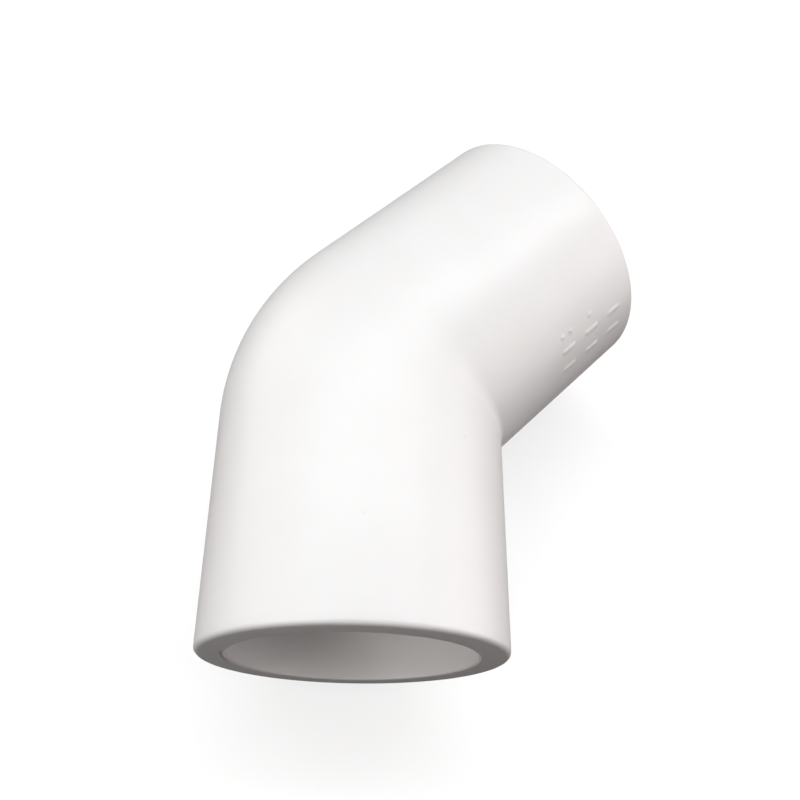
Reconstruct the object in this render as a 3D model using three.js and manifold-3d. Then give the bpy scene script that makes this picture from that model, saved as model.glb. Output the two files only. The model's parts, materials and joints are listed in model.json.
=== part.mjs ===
// A 45 degree elbow for rigid PVC conduit: one injection-moulded body with a plain solvent-weld socket
// at each end. Millimetres, +Z up. The elbow lies on its side, so both socket axes are level: socket A
// opens towards -Y, and socket B opens between +X and +Y. The origin is on the surface it lies on,
// below the middle of its bounding box.
import * as THREE from 'three';
import { mergeVertices } from 'three/addons/utils/BufferGeometryUtils.js';
import Module from 'manifold-3d';

// Driving dimensions
const BEND_ANGLE = THREE.MathUtils.degToRad(45);
const CENTRE_TO_END = 24.5; // from the crossing of the two axes to each mouth
const OUTER_RADIUS = 12.7;
const BEND_RADIUS = 10; // of the bend's centreline
const SOCKET_DEPTH = 18;
const MOUTH_BORE_RADIUS = 10.1; // conduit of 20 mm slips in here
const STOP_BORE_RADIUS = 9.95; // and grips by its end, before it meets the stop
const PASSAGE_RADIUS = 8.7; // the way between the sockets, as wide as the conduit's own bore
const RIM_ROUND = 0.4; // rounding of each mouth's outer edge
const RIM_ROUND_STEPS = 3;
const LEAD_IN = 0.15; // chamfer of each mouth's inner edge

// Plain raised marks, moulded on socket B near its mouth: groups of two bars along the socket, each
// group with one dot more than the group before it. Angles go round the socket, from the top to the
// inner side.
const MARK_GROUPS = 3;
const MARK_FROM_MOUTH = 3.2; // to the first group's middle
const MARK_PITCH = 3.3;
const MARK_WIDTH = 0.5;
const MARK_RISE = 0.06;
const MARK_ROOT = 0.4; // how far each mark runs down into the wall
const BAR_LENGTH = 2;
const BAR_ANGLES = [61, 71].map(THREE.MathUtils.degToRad);
const DOT_ANGLE = THREE.MathUtils.degToRad(53.5);
const DOT_PITCH = 1.1;

const SIDES = 64; // flats round each circle, one of them facing straight down
const BEND_STEPS = 8;

// The flats touch the true circle, so a corner stands a little outside it.
const CORNER = 1 / Math.cos(Math.PI / SIDES);
const SIDE_STEP = (2 * Math.PI) / SIDES;
const TANGENT = BEND_RADIUS * Math.tan(BEND_ANGLE / 2); // from the crossing to each straight leg
const HALF_ARC = (BEND_RADIUS * BEND_ANGLE) / 2; // half of the bend, along its centreline
const HALF_LENGTH = HALF_ARC + CENTRE_TO_END - TANGENT; // half of the elbow, along its centreline
const MITRE_NORMAL = new THREE.Vector3(Math.sin(BEND_ANGLE / 2), Math.cos(BEND_ANGLE / 2), 0);
const LEG_B_TURN = Math.PI - BEND_ANGLE; // about Z, takes socket A's direction to socket B's

const wasm = await Module();
wasm.setup();

// A closed mesh as a solid, without the triangles that have shrunk to a line.
function toSolid(geometry) {
  const bare = geometry.clone();
  bare.deleteAttribute('normal');
  bare.deleteAttribute('uv');
  const merged = mergeVertices(bare, 1e-4);
  const corners = merged.index.array;
  const triVerts = [];
  for (let i = 0; i < corners.length; i += 3) {
    const [a, b, c] = corners.slice(i, i + 3);
    if (a !== b && b !== c && c !== a) triVerts.push(a, b, c);
  }
  const vertProperties = new Float32Array(merged.attributes.position.array);
  const mesh = new wasm.Mesh({ numProp: 3, vertProperties, triVerts: new Uint32Array(triVerts) });
  return new wasm.Manifold(mesh);
}

function toGeometry(solid) {
  const mesh = solid.getMesh();
  const geometry = new THREE.BufferGeometry();
  geometry.setAttribute('position', new THREE.BufferAttribute(mesh.vertProperties, mesh.numProp));
  geometry.setIndex(new THREE.BufferAttribute(mesh.triVerts, 1));
  return geometry;
}

// The elbow's section as [radius, y] points, straightened out along Y with its middle at 0: up the
// outside from mouth A to mouth B, and back down the inside.
function straightenedProfile() {
  const outside = [];
  for (let i = 0; i <= RIM_ROUND_STEPS; i += 1) {
    const turn = ((Math.PI / 2) * i) / RIM_ROUND_STEPS;
    const inwards = RIM_ROUND * (1 - Math.sin(turn));
    const upwards = RIM_ROUND * (1 - Math.cos(turn));
    outside.push([OUTER_RADIUS - inwards, upwards - HALF_LENGTH]);
  }
  const inside = [
    [MOUTH_BORE_RADIUS + LEAD_IN, -HALF_LENGTH],
    [MOUTH_BORE_RADIUS, -HALF_LENGTH + LEAD_IN],
    [STOP_BORE_RADIUS, -HALF_LENGTH + SOCKET_DEPTH],
    [PASSAGE_RADIUS, -HALF_LENGTH + SOCKET_DEPTH],
  ];
  const bendOutside = [];
  const bendInside = [];
  for (let i = 0; i <= BEND_STEPS; i += 1) {
    const along = HALF_ARC * ((2 * i) / BEND_STEPS - 1);
    bendOutside.push([OUTER_RADIUS, along]);
    bendInside.push([PASSAGE_RADIUS, along]);
  }
  const atMouthB = (points) => points.map(([radius, y]) => [radius, -y]).reverse();
  const upOutside = [...outside, ...bendOutside, ...atMouthB(outside)];
  const upInside = [...inside, ...bendInside, ...atMouthB(inside)];
  return [...upOutside, ...upInside.reverse(), outside[0]];
}

// Where a point of the straightened elbow goes when it is bent. Leg A is worked out, and leg B is its
// mirror image in the mitre plane. A line that runs further out than the bend's pivot has no arc to
// follow, so it stays straight and stops at the mitre plane, which leaves a crease on the inner side.
function bendPoint(point) {
  const fromMiddle = -Math.abs(point.y);
  const fromPivot = BEND_RADIUS - point.x;
  const turn = (fromMiddle + HALF_ARC) / BEND_RADIUS;
  const isOnLegB = point.y > 0;
  if (turn > 0 && fromPivot > 0) {
    point.x = BEND_RADIUS - fromPivot * Math.cos(turn);
    point.y = fromPivot * Math.sin(turn) - TANGENT;
  } else {
    const mitre = -point.x * Math.tan(BEND_ANGLE / 2);
    point.y = Math.min(fromMiddle + HALF_ARC - TANGENT, mitre);
    if (point.y === mitre) return;
  }
  if (isOnLegB) point.reflect(MITRE_NORMAL);
}

function elbowShell() {
  const profile = straightenedProfile().map(([radius, y]) => new THREE.Vector2(radius * CORNER, y));
  const shell = new THREE.LatheGeometry(profile, SIDES, SIDE_STEP / 2);
  const position = shell.attributes.position;
  const point = new THREE.Vector3();
  for (let i = 0; i < position.count; i += 1) {
    bendPoint(point.fromBufferAttribute(position, i));
    position.setXYZ(i, point.x, point.y, point.z);
  }
  return shell;
}

// One raised mark on socket B: a bar along the socket, or a dot where its length is its width.
function raisedMark(length, fromMouth, angle) {
  const outline = new THREE.Shape();
  const half = MARK_WIDTH / 2;
  const straight = length / 2 - half;
  outline.absarc(0, straight, half, 0, Math.PI);
  outline.absarc(0, -straight, half, Math.PI, 2 * Math.PI);
  const mark = new THREE.ExtrudeGeometry(outline, {
    depth: MARK_RISE + MARK_ROOT,
    bevelEnabled: false,
    curveSegments: 4,
  });
  mark.translate(0, fromMouth - CENTRE_TO_END, OUTER_RADIUS - MARK_ROOT);
  mark.rotateY(-angle);
  mark.rotateZ(LEG_B_TURN);
  return mark;
}

function raisedMarks() {
  const marks = [];
  for (let group = 0; group < MARK_GROUPS; group += 1) {
    const fromMouth = MARK_FROM_MOUTH + group * MARK_PITCH;
    for (const angle of BAR_ANGLES) marks.push(raisedMark(BAR_LENGTH, fromMouth, angle));
    for (let dot = 0; dot < group; dot += 1) {
      const alongGroup = (dot - (group - 1) / 2) * DOT_PITCH;
      marks.push(raisedMark(MARK_WIDTH, fromMouth + alongGroup, DOT_ANGLE));
    }
  }
  return marks;
}

function elbowGeometry() {
  const shell = toSolid(elbowShell());
  return toGeometry(raisedMarks().reduce((solid, mark) => solid.add(toSolid(mark)), shell));
}

function whitePvc() {
  return new THREE.MeshStandardMaterial({ color: 0xf2f1ef, roughness: 0.38, metalness: 0 });
}

const elbowBody = new THREE.Mesh(elbowGeometry(), whitePvc());
elbowBody.name = 'elbow_body';

// The elbow was made about the crossing of its axes. It is set down with the origin below the middle
// of its box.
const box = new THREE.Box3().setFromObject(elbowBody, true);
const middle = box.getCenter(new THREE.Vector3());
elbowBody.position.set(-middle.x, -middle.y, -box.min.z);

const elbow = new THREE.Group();
elbow.add(elbowBody);

export default elbow;
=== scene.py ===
"""A white PVC conduit elbow, lying on its side on a pale floor.

Metres. Socket A opens towards -Y and socket B halfway between +X and +Y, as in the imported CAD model. Each
half of the moulding is made on leg A, in coordinates with the crossing of the two axes at 0: x towards the
inner side of the bend, y along the leg with the mouth at its negative end, and z up. Leg B is its mirror
image in the mitre plane.
"""

import json
import math

import bpy
import numpy as np
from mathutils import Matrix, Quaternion, Vector


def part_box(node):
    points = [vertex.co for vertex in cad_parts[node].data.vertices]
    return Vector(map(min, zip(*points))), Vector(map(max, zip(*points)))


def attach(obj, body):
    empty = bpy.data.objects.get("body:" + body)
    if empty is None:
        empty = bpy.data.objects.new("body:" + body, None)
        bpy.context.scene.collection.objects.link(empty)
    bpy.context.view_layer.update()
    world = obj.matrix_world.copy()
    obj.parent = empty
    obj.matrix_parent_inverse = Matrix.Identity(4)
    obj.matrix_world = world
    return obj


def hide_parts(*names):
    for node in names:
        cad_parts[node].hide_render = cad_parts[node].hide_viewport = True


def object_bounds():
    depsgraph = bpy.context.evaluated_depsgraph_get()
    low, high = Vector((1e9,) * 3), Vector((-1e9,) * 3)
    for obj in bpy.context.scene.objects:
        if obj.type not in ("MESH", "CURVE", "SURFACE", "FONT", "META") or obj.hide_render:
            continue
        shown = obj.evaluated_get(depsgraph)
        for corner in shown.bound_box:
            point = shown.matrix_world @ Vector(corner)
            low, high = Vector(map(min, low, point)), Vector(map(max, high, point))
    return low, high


MM = 0.001

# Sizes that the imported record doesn't hold
BEND_RADIUS = 10 * MM  # of the bend's centreline
CREASE_RADIUS = 0.9 * MM  # fillet of the crease on the bend's inner side
CREASE_BLEND = 1.6 * MM  # over how much width the crease opens out into the bend
MOUTH_BORE_RADIUS = 10.1 * MM
STOP_BORE_RADIUS = 9.95 * MM
PASSAGE_RADIUS = 8.7 * MM
RIM_ROUND = 0.45 * MM  # outer edge of each mouth
LEAD_IN = 0.15 * MM  # inner edge of each mouth
SMALL_ROUND = 0.12 * MM  # the corner where each bore meets its stop
STOP_ROUND = 0.3 * MM  # inner edge of each stop

# Raised marks on socket B: groups of two bars, each group with one dot more than the group before it
MARK_GROUPS = 3
MARK_FROM_MOUTH = 3.2 * MM
MARK_PITCH = 3.3 * MM
MARK_RISE = 0.06 * MM
MARK_TOP_WIDTH = 0.18 * MM
MARK_FOOT_WIDTH = 0.76 * MM
BAR_LENGTH = 2.0 * MM
BAR_ANGLES = (61, 71)  # degrees round the socket, from the top to the inner side
DOT_ANGLE = 53.5
DOT_PITCH = 1.1 * MM

# The seam where the two halves of the mould met, and the trimmed gate on it
SEAM_RISE = 0.03 * MM
SEAM_WIDTH = 0.22 * MM
SEAM_ANGLES = (90, 270)
GATE_ANGLE = 270  # on the heel of the bend
GATE_RADIUS = 1.1 * MM
GATE_TOP_RADIUS = 0.75 * GATE_RADIUS
GATE_RISE = 0.1 * MM

# A small nick beside the inner edge of mouth A, towards the heel
NICK_ANGLE = 265
NICK_LENGTH = 5.4 * MM
NICK_FULL_LENGTH = 0.64 * NICK_LENGTH  # the stretch that has its full depth
NICK_WIDTH = 0.4 * MM
NICK_DEPTH = 0.07 * MM
NICK_FROM_EDGE = 0.2 * MM

# Mesh spacing. Angles are in degrees.
ANGLE_STEP = 1.5
FINE_ANGLE_STEP = 0.4
LEAST_ANGLE_STEP = 0.12
MARK_ANGLES = (49, 75.4)
SEAM_OFFSETS = (0, 0.2, 0.4, 0.6, 0.85, 1.2)
GATE_FINE_REACH = 1.3 * GATE_RADIUS
NICK_FINE_REACH = 0.6 * NICK_LENGTH
NICK_STEPS = 8  # across the nick
NICK_GUARD = 0.8 * NICK_WIDTH  # from the nick's middle to a ring that keeps the rest of the mouth flat
RING_STEP = 0.8 * MM
MARK_RING_STEP = 0.09 * MM
RIM_TO_MARK_STEPS = 3
ROUND_STEPS = 8  # along the rim's round
SMALL_ROUND_STEPS = 4  # along each round inside
BORE_STEPS = 15
PASSAGE_START = 1.3 * STOP_ROUND  # beyond the stop
ARC_STEPS = 26
APPROACH_STEPS = 4
KNEE_BEFORE_CROSSING = 7.2 * MM  # every line of the skin is still straight here

# The white PVC. The noise scales are per metre, and each detail is a number of octaves.
PVC_IOR = 1.53
PVC_SUBSURFACE = 0.12
PVC_SUBSURFACE_RADIUS = (1.0, 0.95, 0.85)
PVC_SUBSURFACE_SCALE = 0.8 * MM
MOTTLE_DARK, MOTTLE_LIGHT = (0.92, 0.899, 0.891, 1), (0.934, 0.918, 0.913, 1)
MOTTLE_BAND = (0.35, 0.65)  # of the noise, over which the dark turns into the light
MOTTLE_SCALE, MOTTLE_DETAIL = 140, 3
ROUGHNESS_LOW, ROUGHNESS_HIGH = 0.3, 0.44
ROUGHNESS_SCALE, ROUGHNESS_DETAIL = 420, 4
TEXTURE_HEIGHT = 0.02 * MM
TEXTURE_STRENGTH = 0.2
TEXTURE_SCALE, TEXTURE_DETAIL = 2600, 2
PAINTED_SHADE_COLOUR = (0.82, 0.77, 0.75, 1)  # painted shade in the nick

# Tiny grey specks in the plastic: one in each cell of space this wide, so only a few come to the surface
SPECK_PITCH = 5 * MM
SPECK_WIDTH = 0.3 * MM
SPECK_CORE = 0.6  # the share of its width that has its full colour
SPECK_COLOUR = (0.85, 0.825, 0.81, 1)

# Camera, from the frame's own directions: azimuth 0 looks along +Y
CAMERA_AZIMUTH = -15.3
CAMERA_ELEVATION = 62.0
CAMERA_ROLL = 17.8
CAMERA_DISTANCE = 81.9 * MM
CAMERA_LENS = 38.9
CAMERA_AIM = Vector((-2.98, -1.11, -0.99)) * MM  # from the middle of the object's box
CAMERA_CLIP_START = 5 * MM

# The lights, from the middle of the object's box. A side light's azimuth is 0 towards +X and 90 towards +Y.
OVERHEAD_HEIGHT = 0.5
OVERHEAD_COLOUR = (0.93, 0.98, 1.0)
OVERHEAD_LEFT, OVERHEAD_RIGHT = -0.55, 0.44
OVERHEAD_FRONT, OVERHEAD_BACK = 0.15, 0.3
OVERHEAD_POWER = 2.7
SIDE_DISTANCE = 0.8
SIDE_WIDTH = 0.8
WARM = (1.0, 0.95, 0.935)
NEARLY_NEUTRAL = (1.0, 0.972, 0.955)
SIDE_LIGHTS = (  # name, azimuth, elevation, watts, colour
    ("right_low", 0, 10, 3.0, WARM),
    ("right_high", 15, 35, 1.9, WARM),
    ("left_back", 150, 10, 2.4, NEARLY_NEUTRAL),
    ("left_front", 210, 35, 3.0, NEARLY_NEUTRAL),
)
STUDIO_GLOW = 0.03
STUDIO_GLOW_COLOUR = (1.0, 0.95, 0.93, 1)

# The floor, which turns up into a wall all round. The glow's distances are from the frame's origin.
FLOOR_RADIUS = 1.4
FLOOR_MIDDLE_RADIUS = 0.7  # the flat face in the middle
SWEEP_RADIUS = 1.0
SWEEP_STEPS = 12
WALL_TOP = 4.0
FLOOR_SIDES = 96
FLOOR_COLOUR = (0.45, 0.45, 0.45, 1)
FLOOR_ROUGHNESS = 0.9
FLOOR_GLOW_COLOUR = (1, 1, 1, 1)
FLOOR_GLOW_NEAR = (0.3, 0.68)  # distance and strength: out to here the shadows show
FLOOR_GLOW_FAR = (0.8, 1.0)  # from here on, floor and wall are plain white


# ---------------------------------------------------------------- the frame

def elbow_sizes(record, low, high):
    """The axes' crossing, the leg, the socket's depth, the outside radius and half of the bend's angle."""
    mounts = {m["name"]: m for m in record["mounts"]}
    end_a, end_b = mounts["socket_a_end_face"], mounts["socket_b_end_face"]
    axis_b = Vector(end_b["axis"])
    crossing_x = end_a["pos_m"][0]
    back_along_b = (end_b["pos_m"][0] - crossing_x) / axis_b.x
    crossing_y = end_b["pos_m"][1] - back_along_b * axis_b.y
    return {
        "crossing": Vector((crossing_x, crossing_y, (low.z + high.z) / 2)),
        "leg": crossing_y - end_a["pos_m"][1],
        "socket": mounts["socket_a_stop"]["pos_m"][1] - end_a["pos_m"][1],
        "radius": (high.z - low.z) / 2,
        "half_bend": math.atan2(axis_b.x, axis_b.y) / 2,
    }


# ---------------------------------------------------------------- the moulding

def smooth_step(value, start, end):
    """0 up to start, 1 from end on, and a smooth rise between."""
    share = np.clip((value - start) / (end - start), 0, 1)
    return share * share * (3 - 2 * share)


def line_angles():
    """The angle of each line of the skin, from the top towards the inner side, closer at the relief."""
    angles = [np.arange(0, 360, ANGLE_STEP), np.arange(*MARK_ANGLES, FINE_ANGLE_STEP)]
    for seam in SEAM_ANGLES:
        angles += [seam + np.array(SEAM_OFFSETS), seam - np.array(SEAM_OFFSETS)]
    gate_span = math.degrees(GATE_FINE_REACH / SIZES["radius"])
    angles.append(np.arange(GATE_ANGLE - gate_span, GATE_ANGLE + gate_span, FINE_ANGLE_STEP))
    nick_span = math.degrees(NICK_FINE_REACH / MOUTH_BORE_RADIUS)
    angles.append(np.arange(NICK_ANGLE - nick_span, NICK_ANGLE + nick_span, FINE_ANGLE_STEP))
    merged = np.unique(np.round(np.concatenate(angles), 3))
    apart = np.diff(merged, prepend=merged[0] - ANGLE_STEP) > LEAST_ANGLE_STEP
    return np.radians(merged[apart])


def mark_outlines():
    """The middle of each mark, as a distance from the mouth and an angle, and half of its straight part."""
    outlines = []
    for group in range(MARK_GROUPS):
        middle = MARK_FROM_MOUTH + group * MARK_PITCH
        half = (BAR_LENGTH - MARK_FOOT_WIDTH) / 2
        outlines += [(middle, math.radians(angle), half) for angle in BAR_ANGLES]
        for dot in range(group):
            outlines.append((middle + (dot - (group - 1) / 2) * DOT_PITCH, math.radians(DOT_ANGLE), 0))
    return outlines


def mark_relief(from_mouth, angles):
    relief = np.zeros_like(angles)
    for middle, angle, half in mark_outlines():
        along = np.maximum(abs(from_mouth - middle) - half, 0)
        across = (angles - angle) * SIZES["radius"]
        away = np.hypot(along, across)
        relief = np.maximum(relief, 1 - smooth_step(away, MARK_TOP_WIDTH / 2, MARK_FOOT_WIDTH / 2))
    return relief * MARK_RISE


def seam_relief(angles):
    relief = np.zeros_like(angles)
    for seam in SEAM_ANGLES:
        away = abs(angles - math.radians(seam)) * SIZES["radius"]
        relief = np.maximum(relief, 1 - smooth_step(away, 0, SEAM_WIDTH / 2))
    return relief * SEAM_RISE


def gate_relief(from_mitre, angles):
    away = np.hypot(from_mitre, (angles - math.radians(GATE_ANGLE)) * SIZES["radius"])
    return GATE_RISE * (1 - smooth_step(away, GATE_TOP_RADIUS, GATE_RADIUS))


def nick_rings(angles):
    """Leg A's mouth beside its inner edge, with the nick in it."""
    middle = MOUTH_BORE_RADIUS + LEAD_IN + NICK_FROM_EDGE
    along = abs(angles - math.radians(NICK_ANGLE)) * middle
    share_along = 1 - smooth_step(along, NICK_FULL_LENGTH / 2, NICK_LENGTH / 2)
    rings = [straight_ring(angles, middle + NICK_GUARD, 0)]
    for offset in np.linspace(NICK_WIDTH / 2, -NICK_WIDTH / 2, NICK_STEPS + 1):
        share_across = 1 - smooth_step(abs(offset), 0, NICK_WIDTH / 2)
        rings.append(straight_ring(angles, middle + offset, NICK_DEPTH * share_along * share_across))
    return rings


def nick_painted_shade_share(points):
    """How much painted shade each point gets, from 0 to 1. Only the nick gets it, and its lower half gets it
    in full.
    """
    from_crossing = points - np.array(SIZES["crossing"])
    depth = from_crossing[:, 1] + SIZES["leg"]
    from_edge = np.hypot(from_crossing[:, 0], from_crossing[:, 2]) - MOUTH_BORE_RADIUS - LEAD_IN
    in_nick = (abs(from_edge - NICK_FROM_EDGE) < NICK_WIDTH / 2) & (abs(depth) < 2 * NICK_DEPTH)
    return np.where(in_nick, np.clip(2 * depth / NICK_DEPTH, 0, 1), 0)


def bend_of(x):
    """The bend radius of each line of the skin, by how far it is from the axis towards the inner side."""
    free = BEND_RADIUS - x - CREASE_RADIUS
    return CREASE_RADIUS + (free + np.sqrt(free * free + CREASE_BLEND * CREASE_BLEND)) / 2


def straight_ring(angles, radius, from_mouth):
    """A ring square to the leg, this far in from the mouth."""
    x, z = radius * np.sin(angles), radius * np.cos(angles)
    return np.stack([x, np.zeros_like(x) + from_mouth - SIZES["leg"], z], 1)


def approach_ring(angles, radius, start_y, share):
    """A ring between start_y, where the leg is straight, and where each line starts to bend."""
    x, z = radius * np.sin(angles), radius * np.cos(angles)
    tangent_y = -(x + bend_of(x)) * math.tan(SIZES["half_bend"])
    return np.stack([x, start_y + share * (tangent_y - start_y), z], 1)


def arc_ring(angles, radius, share):
    """A ring that is a share of the way from where each line starts to bend to the mitre plane."""
    x, z = radius * np.sin(angles), radius * np.cos(angles)
    bend = bend_of(x)
    turn = share * SIZES["half_bend"]
    centre = x + bend
    y = bend * np.sin(turn) - centre * math.tan(SIZES["half_bend"])
    return np.stack([centre - bend * np.cos(turn), y, z], 1)


def outside_rings(angles, marked):
    """Leg A's outside, from the flat of its mouth to the mitre plane."""
    radius = SIZES["radius"] - SEAM_RISE
    seam = seam_relief(angles)
    rings = []
    for turn in np.linspace(0, math.pi / 2, ROUND_STEPS + 1):
        from_mouth = RIM_ROUND * (1 - math.cos(turn))
        rim = radius - RIM_ROUND * (1 - math.sin(turn))
        rings.append(straight_ring(angles, rim + seam * math.sin(turn), from_mouth))
    knee = SIZES["leg"] - KNEE_BEFORE_CROSSING
    mark_start = MARK_FROM_MOUTH - BAR_LENGTH / 2 - MARK_FOOT_WIDTH
    mark_end = MARK_FROM_MOUTH + (MARK_GROUPS - 1) * MARK_PITCH + BAR_LENGTH / 2 + MARK_FOOT_WIDTH
    if marked:
        stations = np.concatenate([
            np.linspace(RIM_ROUND, mark_start, RIM_TO_MARK_STEPS + 1)[1:-1],
            np.arange(mark_start, mark_end, MARK_RING_STEP),
            np.arange(mark_end, knee, RING_STEP),
        ])
    else:
        stations = np.arange(RIM_ROUND + RING_STEP, knee, RING_STEP)
    for from_mouth in stations:
        relief = mark_relief(from_mouth, angles) if marked else 0
        rings.append(straight_ring(angles, radius + seam + relief, from_mouth))
    rings += bend_rings(angles, radius + seam, -KNEE_BEFORE_CROSSING, True)
    return rings


def bend_rings(angles, radius, start_y, gated):
    """The rings from start_y to the mitre plane, with the gate in them or without it."""
    rings = [approach_ring(angles, radius, start_y, i / APPROACH_STEPS) for i in range(APPROACH_STEPS)]
    heel = BEND_RADIUS + SIZES["radius"]
    for share in np.linspace(0, 1, ARC_STEPS + 1):
        from_mitre = (1 - share) * SIZES["half_bend"] * heel
        relief = gate_relief(from_mitre, angles) if gated else 0
        rings.append(arc_ring(angles, radius + relief, share))
    return rings


def inside_rings(angles):
    """Leg A's inside, from the flat of its mouth to the mitre plane."""
    depth = SIZES["socket"]
    quarter = np.linspace(0, math.pi / 2, SMALL_ROUND_STEPS + 1)
    rings = []
    for turn in quarter:
        radius = MOUTH_BORE_RADIUS + LEAD_IN * (1 - math.sin(turn))
        rings.append(straight_ring(angles, radius, LEAD_IN * (1 - math.cos(turn))))
    for from_mouth in np.linspace(LEAD_IN, depth - SMALL_ROUND, BORE_STEPS + 1)[1:]:
        share = from_mouth / depth
        radius = MOUTH_BORE_RADIUS + share * (STOP_BORE_RADIUS - MOUTH_BORE_RADIUS)
        rings.append(straight_ring(angles, radius, from_mouth))
    for turn in quarter[1:]:
        radius = STOP_BORE_RADIUS - SMALL_ROUND * (1 - math.cos(turn))
        rings.append(straight_ring(angles, radius, depth - SMALL_ROUND * (1 - math.sin(turn))))
    for turn in quarter:
        radius = PASSAGE_RADIUS + STOP_ROUND * (1 - math.sin(turn))
        rings.append(straight_ring(angles, radius, depth + STOP_ROUND * (1 - math.cos(turn))))
    start_y = depth + PASSAGE_START - SIZES["leg"]
    rings += bend_rings(angles, PASSAGE_RADIUS, start_y, False)
    return rings


def mirrored_to_b(rings):
    """The same rings on leg B, in the order from the mitre plane to its mouth."""
    normal = np.array([math.sin(SIZES["half_bend"]), math.cos(SIZES["half_bend"]), 0])
    return [ring - 2 * np.outer(ring @ normal, normal) for ring in reversed(rings)]


def moulding():
    """The whole elbow as one closed skin: over the outside from mouth A to mouth B, and back inside."""
    angles = line_angles()
    outside = outside_rings(angles, False) + mirrored_to_b(outside_rings(angles, True))[1:]
    inside = inside_rings(angles)
    through = nick_rings(angles) + inside + mirrored_to_b(inside)[1:]
    rings = outside + through[::-1]
    vertices = np.concatenate(rings) + np.array(SIZES["crossing"])
    across = len(angles)
    faces = []
    for i in range(len(rings)):
        here, there = i * across, (i + 1) % len(rings) * across
        for j in range(across):
            k = (j + 1) % across
            faces.append((here + j, here + k, there + k, there + j))
    mesh = bpy.data.meshes.new("elbow_moulding")
    mesh.from_pydata(vertices.tolist(), [], faces)
    mesh.validate()
    mesh.shade_smooth()
    # painted shade for the nick, kept on the mesh for the material
    painted_shade = mesh.attributes.new("painted_shade", "FLOAT", "POINT")
    painted_shade.data.foreach_set("value", nick_painted_shade_share(vertices))
    piece = bpy.data.objects.new("elbow_moulding", mesh)
    bpy.context.scene.collection.objects.link(piece)
    return piece


# ---------------------------------------------------------------- materials

def new_material(name):
    """A material and its Principled shader."""
    material = bpy.data.materials.new(name)
    material.use_nodes = True
    return material, material.node_tree.nodes["Principled BSDF"]


def noise(tree, coordinates, scale, detail):
    texture = tree.nodes.new("ShaderNodeTexNoise")
    texture.inputs["Scale"].default_value = scale
    texture.inputs["Detail"].default_value = detail
    tree.links.new(coordinates, texture.inputs["Vector"])
    return texture.outputs["Fac"]


def coloured_over(tree, share, colour, below):
    """The colour below, with another colour over it by a share."""
    mix = tree.nodes.new("ShaderNodeMixRGB")
    mix.inputs["Color2"].default_value = colour
    tree.links.new(share, mix.inputs["Fac"])
    tree.links.new(below, mix.inputs["Color1"])
    return mix.outputs["Color"]


def ranged(tree, value, start, end):
    """A value brought to a new range. The start and the end are each a value before and the value after."""
    ranging = tree.nodes.new("ShaderNodeMapRange")
    ranging.inputs["From Min"].default_value, ranging.inputs["To Min"].default_value = start
    ranging.inputs["From Max"].default_value, ranging.inputs["To Max"].default_value = end
    tree.links.new(value, ranging.inputs["Value"])
    return ranging.outputs["Result"]


def mottled_white(tree, where):
    """Two near whites in soft patches."""
    tone = tree.nodes.new("ShaderNodeValToRGB")
    dark, light = tone.color_ramp.elements
    dark.position, light.position = MOTTLE_BAND
    dark.color, light.color = MOTTLE_DARK, MOTTLE_LIGHT
    tree.links.new(noise(tree, where, MOTTLE_SCALE, MOTTLE_DETAIL), tone.inputs["Fac"])
    return tone.outputs["Color"]


def speckled(tree, where, below):
    """The colour below, with the tiny grey specks in it."""
    cells = tree.nodes.new("ShaderNodeTexVoronoi")
    cells.inputs["Scale"].default_value = 1 / SPECK_PITCH
    tree.links.new(where, cells.inputs["Vector"])
    edge = 0.5 * SPECK_WIDTH / SPECK_PITCH
    share = ranged(tree, cells.outputs["Distance"], (SPECK_CORE * edge, 1), (edge, 0))
    return coloured_over(tree, share, SPECK_COLOUR, below)


def with_painted_shade(tree, below):
    """The colour below, with painted shade over it where the mesh says so."""
    painted_shade = tree.nodes.new("ShaderNodeAttribute")
    painted_shade.attribute_name = "painted_shade"
    return coloured_over(tree, painted_shade.outputs["Fac"], PAINTED_SHADE_COLOUR, below)


def white_pvc():
    """Rigid PVC as moulded: near white, softly mottled, semi-gloss, with a few specks, a faint texture and
    painted shade in the nick.
    """
    material, shader = new_material("white_pvc")
    tree = material.node_tree
    shader.inputs["IOR"].default_value = PVC_IOR
    shader.inputs["Subsurface Weight"].default_value = PVC_SUBSURFACE
    shader.inputs["Subsurface Radius"].default_value = PVC_SUBSURFACE_RADIUS
    shader.inputs["Subsurface Scale"].default_value = PVC_SUBSURFACE_SCALE
    where = tree.nodes.new("ShaderNodeTexCoord").outputs["Object"]

    # painted shade in the nick, over the specks and the mottling
    colour = with_painted_shade(tree, speckled(tree, where, mottled_white(tree, where)))
    tree.links.new(colour, shader.inputs["Base Color"])

    unevenness = noise(tree, where, ROUGHNESS_SCALE, ROUGHNESS_DETAIL)
    roughness = ranged(tree, unevenness, (0, ROUGHNESS_LOW), (1, ROUGHNESS_HIGH))
    tree.links.new(roughness, shader.inputs["Roughness"])

    bump = tree.nodes.new("ShaderNodeBump")
    bump.inputs["Strength"].default_value = TEXTURE_STRENGTH
    bump.inputs["Distance"].default_value = TEXTURE_HEIGHT
    tree.links.new(noise(tree, where, TEXTURE_SCALE, TEXTURE_DETAIL), bump.inputs["Height"])
    tree.links.new(bump.outputs["Normal"], shader.inputs["Normal"])
    return material


def pale_floor():
    """A floor that also glows, so that it looks white and the shadows on it stay faint."""
    material, shader = new_material("pale_floor")
    tree = material.node_tree
    shader.inputs["Base Color"].default_value = FLOOR_COLOUR
    shader.inputs["Roughness"].default_value = FLOOR_ROUGHNESS
    shader.inputs["Specular IOR Level"].default_value = 0
    shader.inputs["Emission Color"].default_value = FLOOR_GLOW_COLOUR
    distance = tree.nodes.new("ShaderNodeVectorMath")
    distance.operation = "LENGTH"
    where = tree.nodes.new("ShaderNodeTexCoord").outputs["Object"]
    tree.links.new(where, distance.inputs["Vector"])
    glow = ranged(tree, distance.outputs["Value"], FLOOR_GLOW_NEAR, FLOOR_GLOW_FAR)
    tree.links.new(glow, shader.inputs["Emission Strength"])
    return material


# ---------------------------------------------------------------- stage

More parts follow.
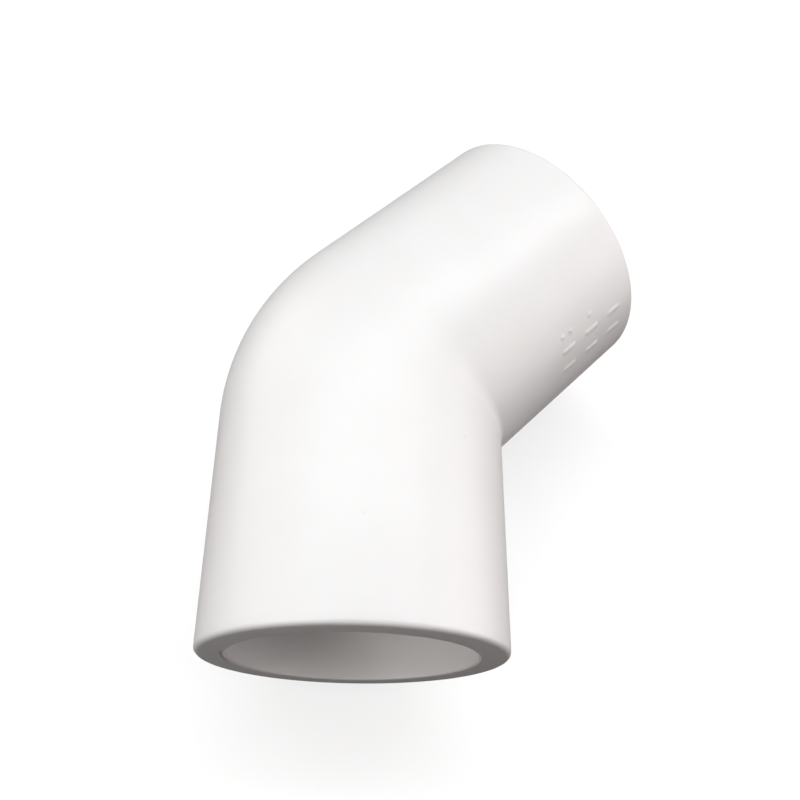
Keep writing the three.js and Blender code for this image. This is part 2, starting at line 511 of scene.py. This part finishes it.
def make_floor():
    """A floor that sweeps up into a wall all round, far from the object. It lights nothing."""
    profile = [(FLOOR_MIDDLE_RADIUS, 0)]
    for turn in np.linspace(0, math.pi / 2, SWEEP_STEPS + 1):
        profile.append((FLOOR_RADIUS + SWEEP_RADIUS * math.sin(turn), SWEEP_RADIUS * (1 - math.cos(turn))))
    profile.append((FLOOR_RADIUS + SWEEP_RADIUS, WALL_TOP))
    vertices = []
    for radius, z in profile:
        for angle in np.linspace(0, 2 * math.pi, FLOOR_SIDES, endpoint=False):
            vertices.append((radius * math.cos(angle), radius * math.sin(angle), z))
    faces = [tuple(range(FLOOR_SIDES))]
    for i in range(len(profile) - 1):
        here, there = i * FLOOR_SIDES, (i + 1) * FLOOR_SIDES
        for j in range(FLOOR_SIDES):
            k = (j + 1) % FLOOR_SIDES
            faces.append((here + j, there + j, there + k, here + k))
    mesh = bpy.data.meshes.new("floor")
    mesh.from_pydata(vertices, [], faces)
    mesh.shade_smooth()
    mesh.materials.append(pale_floor())
    floor = bpy.data.objects.new("floor", mesh)
    bpy.context.scene.collection.objects.link(floor)
    floor.visible_diffuse = False
    floor.visible_glossy = False


def direction(azimuth, elevation):
    """The way towards a side light: azimuth 0 is towards +X and 90 towards +Y."""
    azimuth, elevation = math.radians(azimuth), math.radians(elevation)
    level = math.cos(elevation)
    return Vector((math.cos(azimuth) * level, math.sin(azimuth) * level, math.sin(elevation)))


def add_area_light(name, shape, size, colour, power, place):
    light = bpy.data.lights.new(name, "AREA")
    light.shape = shape
    light.size, light.size_y = size
    light.color = colour
    light.energy = power
    holder = bpy.data.objects.new(name, light)
    holder.location = place
    bpy.context.scene.collection.objects.link(holder)
    return holder


def make_light(middle):
    """A long softbox above and behind the object, four wide soft lights at its sides and a dim glow."""
    size = (OVERHEAD_RIGHT - OVERHEAD_LEFT, OVERHEAD_BACK - OVERHEAD_FRONT)
    centre_x = (OVERHEAD_LEFT + OVERHEAD_RIGHT) / 2
    centre_y = (OVERHEAD_FRONT + OVERHEAD_BACK) / 2
    place = middle + Vector((centre_x, centre_y, OVERHEAD_HEIGHT))
    add_area_light("overhead", "RECTANGLE", size, OVERHEAD_COLOUR, OVERHEAD_POWER, place)
    for name, azimuth, elevation, power, colour in SIDE_LIGHTS:
        way = direction(azimuth, elevation)
        place = middle + way * SIDE_DISTANCE
        holder = add_area_light(name, "DISK", (SIDE_WIDTH, SIDE_WIDTH), colour, power, place)
        holder.rotation_mode = "QUATERNION"
        holder.rotation_quaternion = (-way).to_track_quat("-Z", "Y")
    world = bpy.data.worlds.new("studio")
    world.use_nodes = True
    background = world.node_tree.nodes["Background"]
    background.inputs["Color"].default_value = STUDIO_GLOW_COLOUR
    background.inputs["Strength"].default_value = STUDIO_GLOW
    bpy.context.scene.world = world
    bpy.context.scene.view_settings.view_transform = "Standard"


def make_camera(middle):
    """The camera, aimed near the middle of the object's box and rolled about its own axis."""
    azimuth, elevation = math.radians(CAMERA_AZIMUTH), math.radians(CAMERA_ELEVATION)
    level = math.cos(elevation)
    back = Vector((math.sin(azimuth) * level, -math.cos(azimuth) * level, math.sin(elevation)))
    camera = bpy.data.objects.new("camera", bpy.data.cameras.new("camera"))
    camera.data.lens = CAMERA_LENS
    camera.data.clip_start = CAMERA_CLIP_START
    camera.location = middle + CAMERA_AIM + back * CAMERA_DISTANCE
    camera.rotation_mode = "QUATERNION"
    roll = Quaternion((0, 0, 1), math.radians(CAMERA_ROLL))
    camera.rotation_quaternion = (-back).to_track_quat("-Z", "Y") @ roll
    bpy.context.scene.collection.objects.link(camera)
    bpy.context.scene.camera = camera


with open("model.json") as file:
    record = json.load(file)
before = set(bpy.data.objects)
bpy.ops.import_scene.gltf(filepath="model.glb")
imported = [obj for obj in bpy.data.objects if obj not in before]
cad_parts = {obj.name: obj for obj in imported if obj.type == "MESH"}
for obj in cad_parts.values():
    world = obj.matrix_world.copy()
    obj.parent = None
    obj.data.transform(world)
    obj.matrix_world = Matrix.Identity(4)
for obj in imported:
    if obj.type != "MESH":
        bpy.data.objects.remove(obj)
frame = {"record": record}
cad_low, cad_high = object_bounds()
SIZES = elbow_sizes(frame["record"], *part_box("elbow_body"))
box_middle = (cad_low + cad_high) / 2
make_camera(box_middle)

elbow = moulding()
elbow.data.materials.append(white_pvc())
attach(elbow, "root")
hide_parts("elbow_body")

make_floor()
make_light(box_middle)
